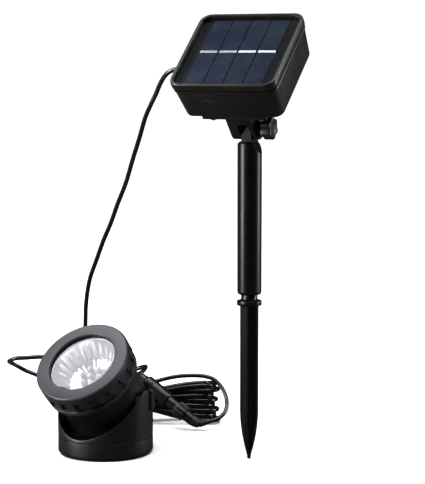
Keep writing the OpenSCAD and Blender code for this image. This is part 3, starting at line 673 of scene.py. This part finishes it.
def cup_mesh():
    """The base's bottom cup, with a step inside that the cradle sits on."""
    section = fillet(
        [(0.01, 0.8), (BASE_R - 1.4, 0.8), (BASE_R, 2.2), (BASE_R, SEAM_Z - 0.05),
         (34.4, SEAM_Z - 0.05), (33.9, SEAM_Z + 2), (32.4, SEAM_Z + 2), (32.4, 10.5),
         (BORE_R, 9.3), (BORE_R, FLOOR_OF_CUP), (0.01, FLOOR_OF_CUP)],
        [0, 1.4, 1.4, 0.4, 0, 0.3, 0.3, 0, 0, 1, 0], 5)
    return revolve([(p.x, p.y) for p in section], 128)


for name, part in (("base_cradle_wall", cradle_mesh()),
                   ("base_grips", join(grip_mesh(1), grip_mesh(-1))),
                   ("base_bearing_pads", join(pad_mesh(1), pad_mesh(-1)))):
    stand_in(name, part, BASE, "root", "base_cradle", "lamp_plastic", 30)
stand_in("base_bottom_cup", cup_mesh(), BASE, "root", "base_bottom", "lamp_plastic", 40)

# ---------- lamp ----------

SHELL_R = 32
SHELL_WALL = 2.2
NECK_R = 31.3
NECK_FROM = 26.6
NECK_TO = 40.8
# The dome: where it starts on the axis, and the flat end's radius, the bend's width and
# its depth, outside and inside
DOME_START = -3
DOME_OUT = (14, 18, 20)
DOME_IN = (12.4, 17.4, 17.8)
BOSS_R = 7.5
TRUNNION_R = 4
SEAT_R = 6


def shell_mesh():
    """The lamp's shell: a turned body, bosses with trunnions, and the cord gland's seat."""
    outer, inner = (
        [(flat + width * math.cos(a), DOME_START - depth * math.sin(a))
         for a in (math.pi / 2 * i / 24 for i in range(25))]
        for flat, width, depth in (DOME_OUT, DOME_IN))
    body = revolve([(0, outer[-1][1]), *reversed(outer), (SHELL_R, NECK_FROM),
                    (NECK_R, NECK_FROM), (NECK_R, NECK_TO), (SHELL_R - SHELL_WALL, NECK_TO),
                    *inner, (0, inner[-1][1])], 128)
    boss = revolve([(0, 30), (BOSS_R, 30), (BOSS_R, 32.1), (BOSS_R - 0.2, 32.3),
                    (TRUNNION_R, 32.3), (TRUNNION_R, 35.2), (TRUNNION_R - 0.2, 35.4),
                    (0, 35.4)], 40)
    seat = revolve([(0, 28), (SEAT_R, 28), (SEAT_R, 32.2), (SEAT_R - 0.3, 32.5), (0, 32.5)], 40)
    return join(body, moved(boss, turn("Y", 90)), moved(boss, turn("Y", -90)),
                moved(seat, turn("X", -GLAND_ANGLE)))


stand_in("head_shell_turned", shell_mesh(), LAMP, "lamp_head", "head_shell", "lamp_plastic")

RING_REAR = 27
RING_FRONT = 47
RING_R = 37.5
RING_BORE = 31.6
BAND_FROM = 31.9
NOTCHES = 20
NOTCH_FLOOR_R = 35.5
NOTCH_HALF = 2.8
NOTCH_END = 41
NOTCH_WALL = 0.25
SLOT_REACH = 4.7
SLOT_END = 36.5


def ramp_up(distance):
    """0 outside an edge and 1 inside it, with a rounded change between."""
    return smoothstep(distance / NOTCH_WALL + 0.5)


def notch_share(across, t):
    """How much of the L-shaped notch's depth the ring has, across its pitch, at height t."""
    stem = min(ramp_up(NOTCH_HALF - abs(across)), ramp_up(NOTCH_END - t))
    foot = min(ramp_up(across), ramp_up(SLOT_REACH - across), ramp_up(SLOT_END - t))
    return max(stem, foot)


def ring_mesh():
    """The screw ring: a turned section whose band is cut by L-shaped finger notches."""
    section = fillet(
        [(26.9, 44.5), (26.6, 46.4), (27.3, RING_FRONT), (36.4, RING_FRONT), (RING_R, 45.9),
         (RING_R, 33.2), (35.3, 33.0), (35.3, 30.6), (36.9, 30.4), (36.9, RING_REAR),
         (RING_BORE, RING_REAR), (RING_BORE, 44.5), (26.9, 44.5)],
        [0, 0.5, 0.6, 1.3, 1.3, 0.25, 0.2, 0.2, 0.3, 0.4, 0.3, 0, 0], 4)[:-1]
    rows = [(p.x, p.y) for p in section]
    # more rows and columns where the notches' walls stand
    band = next(i for i, (p, q) in enumerate(zip(rows, rows[1:]))
                if p[0] > RING_R - 0.1 and p[1] - q[1] > 8)
    rows[band + 1:band + 1] = [(RING_R, edge - step) for edge in (NOTCH_END, SLOT_END)
                               for step in (-0.15, -0.05, 0, 0.05, 0.15)]
    walls = [edge + step for edge in (-NOTCH_HALF, 0, NOTCH_HALF, SLOT_REACH)
             for step in (-0.15, -0.05, 0.05, 0.15)]
    across = sorted(walls + [-5.9, -4.9, -3.9, -1.9, -1, 1, 1.9, 3.7, 5.3])
    rings = []
    for radius, t in rows:
        ring = []
        for i in range(NOTCHES):
            for x in across:
                angle = 2 * math.pi * i / NOTCHES + x / RING_R
                r = radius
                if t > BAND_FROM and r > NOTCH_FLOOR_R:
                    r -= (r - NOTCH_FLOOR_R) * notch_share(x, t)
                ring.append((r * math.cos(angle), r * math.sin(angle), t))
        rings.append(ring)
    return weld(grid(rings + rings[:1]))


stand_in("lens_ring_notched", ring_mesh(), LAMP, "lens_ring", "lens_ring", "ring_plastic", 30)

FLUTES = 28
FLUTE_DEPTH = 0.9
BOWL_LOW = 24.1
BOWL_HIGH = 39.8


def reflector_mesh():
    """A bowl with shallow flutes, its rolled flange and the plate that the diodes stand in."""
    steps, sides = 12, FLUTES * 8
    rings = [[(x, y, BOWL_LOW) for x, y in circle(r, sides)] for r in (0.3, 12.4)]
    for i in range(steps + 1):
        share = i / steps
        fade = math.sin(math.pi * min(1, share + 0.08))
        ring = []
        for k in range(sides):
            a = 2 * math.pi * k / sides
            r = (13 + 14 * math.sqrt(share)
                 - FLUTE_DEPTH * abs(math.sin(a * FLUTES / 2)) * fade)
            ring.append((r * math.cos(a), r * math.sin(a),
                         BOWL_LOW + 0.3 + (BOWL_HIGH - BOWL_LOW) * share))
        rings.append(ring)
    for r, t in ((27.4, 40.7), (29.2, 40.7), (29.2, 40.0), (28.2, 39.4)):
        rings.append([(x, y, t) for x, y in circle(r, sides)])
    return grid(rings)


stand_in("reflector_bowl", reflector_mesh(), LAMP, "lamp_head", "reflector",
         "reflector_chrome", 50)

# ---------- solar head ----------

PANEL_Y = 20
CELLS_Z = 56.1
CELL_AREA = (61, 70)
CELL_GAP = 1.0
CELL_STRIP = 2.4
CELL_COLUMNS = 4


def cell_mesh():
    """Two rows of cells as thin plates, with the busbars' strip between the rows."""
    w = (CELL_AREA[0] - (CELL_COLUMNS - 1) * CELL_GAP) / CELL_COLUMNS
    d = (CELL_AREA[1] - CELL_STRIP) / 2
    plate = prism(round_rect(w, d, 0.4, 0, 2), [(0, 0), (0.42, 0), (0.5, 0.08)])
    plates = []
    for i in range(CELL_COLUMNS):
        for row in (-1, 1):
            x = -CELL_AREA[0] / 2 + w / 2 + i * (w + CELL_GAP)
            y = PANEL_Y + row * (CELL_STRIP + d) / 2
            plates.append(moved(plate, shift(x, y, CELLS_Z)))
    return join(*plates)


stand_in("pv_cell_plates", cell_mesh(), SOLAR, "solar_head", "pv_cells", "pv_silicon")

SCREW_POSTS = [(x, PANEL_Y + y) for x in (-33, 33) for y in (-30.5, 30.5)]
BRACKET_SCREWS = [(x, y) for x in (-19, 19) for y in (-11, 6)]
BUTTON_AT = (-24, 24)
POST_HOLE_R = 2.9
PILOT_HOLE_R = 1.35
BUTTON_HOLE_R = 4.1
FLOOR_OUT = 25.7
FLOOR_IN = 28.2
BEZEL_LOW = 53.4


def slab_ring(w, d, r, z):
    """The solar head's outline at one height."""
    return [(x, y, z) for x, y in round_rect(w, d, r, PANEL_Y, 8)]


def holed_cap(rim, holes):
    """A flat face inside rim, with holes in it."""
    loops = [[Vector(p) for p in loop] for loop in (rim, *holes)]
    return [p for loop in loops for p in loop], [list(t) for t in tessellate_polygon(loops)]


def housing_mesh():
    """The tapered housing: a floor with its holes, walls with a rim, and the screw posts."""
    walls = [slab_ring(*level) for level in (
        (74.6, 70.6, 5.4, FLOOR_OUT), (76.2, 72.2, 6.1, 25.85), (77.5, 73.5, 6.7, 26.35),
        (78.1, 74.1, 7.0, 27.2), (81.7, 77.7, 7.9, 50.2), (82.7, 78.7, 8.3, 50.5),
        (83, 79, 8.5, 50.9), (83, 79, 8.5, 51.9), (82.7, 78.7, 8.4, 52.2), (76, 72, 5, 52.2),
        (76, 72, 5, 50.6), (77.7, 73.7, 6, 50.4), (74, 70, 5, FLOOR_IN))]
    holes = ([(at, POST_HOLE_R) for at in SCREW_POSTS]
             + [(at, PILOT_HOLE_R) for at in BRACKET_SCREWS] + [(BUTTON_AT, BUTTON_HOLE_R)])
    low, high = ([[(x, y, z) for x, y in circle(r, 32, at)] for at, r in holes]
                 for z in (FLOOR_OUT, FLOOR_IN))
    shell = weld(join(grid(walls), holed_cap(walls[0], low), holed_cap(walls[-1], high),
                      *(grid(pair) for pair in zip(low, high))))
    post = weld(revolve([(1.5, FLOOR_IN), (3.2, FLOOR_IN), (3.2, BEZEL_LOW), (1.5, BEZEL_LOW),
                         (1.5, FLOOR_IN)], 24))
    seat = revolve([(0, 38.5), (6.2, 38.5), (5.8, 40.7), (5.5, 41), (0, 41)], 40)
    return join(shell, *(moved(post, shift(*at, 0)) for at in SCREW_POSTS),
                moved(seat, shift(0, *PANEL_GLAND_TIP[1:]) @ turn("Y", -90)))


def bezel_mesh():
    """The bezel: one closed section all the way round, with the shelf for the cells' board."""
    rings = [slab_ring(*level) for level in (
        (83.0, 79.0, 8.5, BEZEL_LOW), (83.7, 79.7, 8.8, 53.6), (84, 80, 9, 54.1),
        (84, 80, 9, 58.0), (83.75, 79.75, 8.9, 58.7), (83.1, 79.1, 8.6, 59.25),
        (82.2, 78.2, 8.1, 59.6), (81.2, 77.2, 7.6, 59.7), (79.2, 75.2, 6.6, 59.7),
        (78.4, 74.4, 6.2, 59.55), (78, 74, 6, 59.1), (78, 74, 6, 54.5), (60, 56, 4, 54.5),
        (60, 56, 4, BEZEL_LOW))]
    return weld(grid(rings + rings[:1]))


stand_in("panel_housing_shell", housing_mesh(), SOLAR, "solar_head", "panel_housing",
         "solar_plastic", 40)
stand_in("panel_bezel_frame", bezel_mesh(), SOLAR, "solar_head", "panel_bezel",
         "solar_plastic", 40)

KNOB_START = 11.5
KNOB_END = 19.5
KNOB_R = 8.0
KNOB_LOBES = 6
LOBE_HEIGHT = 0.85


def knob_mesh():
    """The clamp knob along +X: a hub, then a six-lobed grip with a dished front."""
    sides = KNOB_LOBES * 16
    section = fillet([(2.6, 9.0), (6.5, 9.0), (6.5, KNOB_START), (KNOB_R, KNOB_START),
                      (KNOB_R, KNOB_END), (5.0, KNOB_END), (3.6, KNOB_END - 0.8),
                      (0.01, KNOB_END - 0.9)], [0, 0.4, 0.3, 1.0, 1.6, 0.8, 0.8, 0], 4)
    rings = []
    for p in section:
        on_grip = p.y > KNOB_START - 0.01
        lobe = LOBE_HEIGHT * smoothstep((p.x - 5.5) / 2.2) * on_grip
        ring = []
        for k in range(sides):
            a = 2 * math.pi * k / sides
            r = p.x + lobe * math.cos(KNOB_LOBES * a)
            ring.append((p.y, r * math.cos(a), r * math.sin(a)))
        rings.append(ring)
    return grid(rings)


stand_in("tilt_knob_grip", knob_mesh(), SOLAR, "tilt_knob", "tilt_knob", "solar_plastic", 50)

# ---------- connector ----------


def along(a, b):
    """A frame at a whose Z points to b."""
    d = Vector(b) - Vector(a)
    return shift(*a) @ d.to_track_quat("Z", "Y").to_matrix().to_4x4()


CONNECTOR = CORD @ along(SOCKET_START, PLUG_END)
CONNECTOR_L = (Vector(PLUG_END) - Vector(SOCKET_START)).length


def ribbed(low, high, r_low, r_high, ribs):
    """Section of a strain relief: a taper with round ribs."""
    out = []
    for i in range(ribs):
        for t, groove in ((0.0, 0.0), (0.55, 0.0), (0.62, 0.45), (0.93, 0.45)):
            share = (i + t) / ribs
            out.append((r_low + (r_high - r_low) * share - groove,
                        low + (high - low) * share))
    return out


def socket_mesh():
    """The lamp side's half: a ribbed relief, then a barrel with a groove, open at its end."""
    barrel = fillet(
        [(4.6, 9.5), (5.2, 10), (6.2, 11.2), (6.2, 16.5), (5.9, 16.8), (5.9, 17.6), (6.2, 17.9),
         (6.2, 33.2), (5.6, 34), (4.05, 34), (4.05, 25), (0.01, 25)],
        [0, 0, 0.8, 0.2, 0.2, 0.2, 0.2, 0.6, 0.3, 0, 0, 0], 3)
    return revolve([(0.01, 0.0), *ribbed(0.0, 9.5, 2.9, 4.8, 4), *((p.x, p.y) for p in barrel)],
                   48)


def plug_mesh():
    """The panel side's half: a nose inside the barrel, and a body with a groove."""
    section = fillet(
        [(0.01, 26), (3.9, 26), (3.9, 34.1), (4.6, 34.6), (4.6, 41.5), (4.3, 41.8), (4.3, 42.4),
         (4.6, 42.7), (4.6, CONNECTOR_L), (0.01, CONNECTOR_L)],
        [0, 0.3, 0, 0.4, 0.2, 0.2, 0.2, 0.2, 0.4, 0], 3)
    return revolve([(p.x, p.y) for p in section], 48)


def nut_mesh():
    """The coupling nut: a short sleeve with ribs for the fingers."""
    ribs, steps, height = 12, 10, 0.6
    section = fillet([(4.66, 44), (6.0, 44), (6.0, 53), (4.66, 53)], [0, 0.6, 0.6, 0], 4)
    rings = []
    for p in section:
        share = smoothstep((p.x - 5.2) / 0.6)
        ring = []
        for k in range(ribs * steps):
            a = 2 * math.pi * k / ribs / steps
            r = p.x + share * height * max(0, math.cos(ribs * a)) ** 0.6
            ring.append((r * math.cos(a), r * math.sin(a), p.y))
        rings.append(ring)
    return weld(grid(rings + rings[:1]))


def boot_mesh():
    """The plug's rubber boot: a bent taper, grooved along its thin half."""
    line = smooth_path(BOOT_ROUTE, 0.4)
    radii = []
    for i in range(len(line)):
        share = i / (len(line) - 1)
        groove = 0.4 if share > 0.3 and math.fmod(share * 8, 1) > 0.6 else 0
        radii.append(np.interp(share, (0, 0.4, 0.6, 1), BOOT_RADII) - groove)
    return tube(line, radii, 24)


socket, plug, nut = (
    stand_in(name, part, CONNECTOR, "root", node, "connector_plastic")
    for name, part, node in (
        ("connector_socket_body", socket_mesh(), "connector_socket"),
        ("connector_plug_body", plug_mesh(), "connector_plug"),
        ("coupling_nut_ribbed", nut_mesh(), "coupling_nut")))
boot = stand_in("plug_boot_ribbed", boot_mesh(), CORD, "root", "plug_boot", "boot_rubber")

# ---------- camera, floor and light ----------

CAMERA_AT = (82.6, -1230, 300)
CAMERA_DOWN = 6.365
LENS_MM = 120.64

camera = bpy.data.objects.new("camera", bpy.data.cameras.new("camera"))
bpy.context.scene.collection.objects.link(camera)
camera.location = metres(CAMERA_AT, CORD)
camera.rotation_euler = (math.radians(90 - CAMERA_DOWN), 0, math.radians(CORD_YAW))
camera.data.lens = LENS_MM
camera.data.sensor_width = 36
camera.data.clip_end = 60
bpy.context.scene.camera = camera

# White paper when seen, dark grey in what it lights, so that the black plastic stays black
floor_n = Nodes("floor_paper")
floor_cloud = floor_n.noise(floor_n.coordinates(), 3, 3)
paper, bounce = (
    floor_n.add("ShaderNodeBsdfDiffuse", {"Color": floor_n.ramp(
        floor_cloud, [(0.3, (dark,) * 3), (0.7, (light,) * 3)])})
    for dark, light in ((0.88, 0.90), (0.08, 0.09)))
floor_mix = floor_n.add("ShaderNodeMixShader", {
    0: floor_n.add("ShaderNodeLightPath").outputs["Is Camera Ray"],
    1: bounce.outputs[0], 2: paper.outputs[0]})
floor_n.tree.links.new(floor_mix.outputs[0], floor_n.output.inputs["Surface"])
floor = mesh_piece("floor", *revolve([(0, 0), (200, 0), (1000, 0), (12000, 0)], 64), BASE,
                   None, floor_n.material)


def add_light(name, kind, at, target, power):
    """A light at a place, turned to a target, both in metres in the camera's heading."""
    light = bpy.data.lights.new(name, kind)
    light.energy = power
    obj = bpy.data.objects.new(name, light)
    bpy.context.scene.collection.objects.link(obj)
    obj.location = CORD @ Vector(at)
    aim = CORD @ (Vector(target) - Vector(at))
    obj.rotation_euler = aim.to_track_quat("-Z", "Y").to_euler()
    return obj


def soft_box(name, at, target, size, power):
    """A rectangular soft box that the camera doesn't see."""
    obj = add_light(name, "AREA", at, target, power)
    obj.data.shape = "RECTANGLE"
    obj.data.size, obj.data.size_y = size
    obj.visible_camera = False


MIDDLE = (0.08, 0.05, 0.15)
LAMP_FACE = (0.0, -0.03, 0.07)
sky = add_light("sky_top", "SUN", (0.1, -0.25, 1.0), (0, 0, 0), 4.1)
sky.data.angle = math.radians(50)
soft_box("box_left", (-1.15, -0.4, 0.35), MIDDLE, (0.45, 1.2), 42)
soft_box("box_right", (1.35, 0.1, 0.35), MIDDLE, (0.3, 1.1), 18)
soft_box("box_ring", (-0.22, 0.13, 0.55), LAMP_FACE, (0.2, 0.2), 1.2)

# A white world when seen, and a dim bluish one in what it lights
world = bpy.data.worlds.new("studio")
world.use_nodes = True
bpy.context.scene.world = world
w_nodes, w_links = world.node_tree.nodes, world.node_tree.links
w_nodes.clear()
mix = w_nodes.new("ShaderNodeMixShader")
rays = w_nodes.new("ShaderNodeLightPath")
w_links.new(rays.outputs["Is Camera Ray"], mix.inputs[0])
for socket_at, colour, strength in ((1, (0.9, 0.93, 1, 1), 0.04), (2, (1, 1, 1, 1), 1.05)):
    background = w_nodes.new("ShaderNodeBackground")
    background.inputs["Color"].default_value = colour
    background.inputs["Strength"].default_value = strength
    w_links.new(background.outputs[0], mix.inputs[socket_at])
w_links.new(mix.outputs[0], w_nodes.new("ShaderNodeOutputWorld").inputs["Surface"])
bpy.context.scene.view_settings.view_transform = "Standard"
bpy.context.scene.view_settings.gamma = 0.88
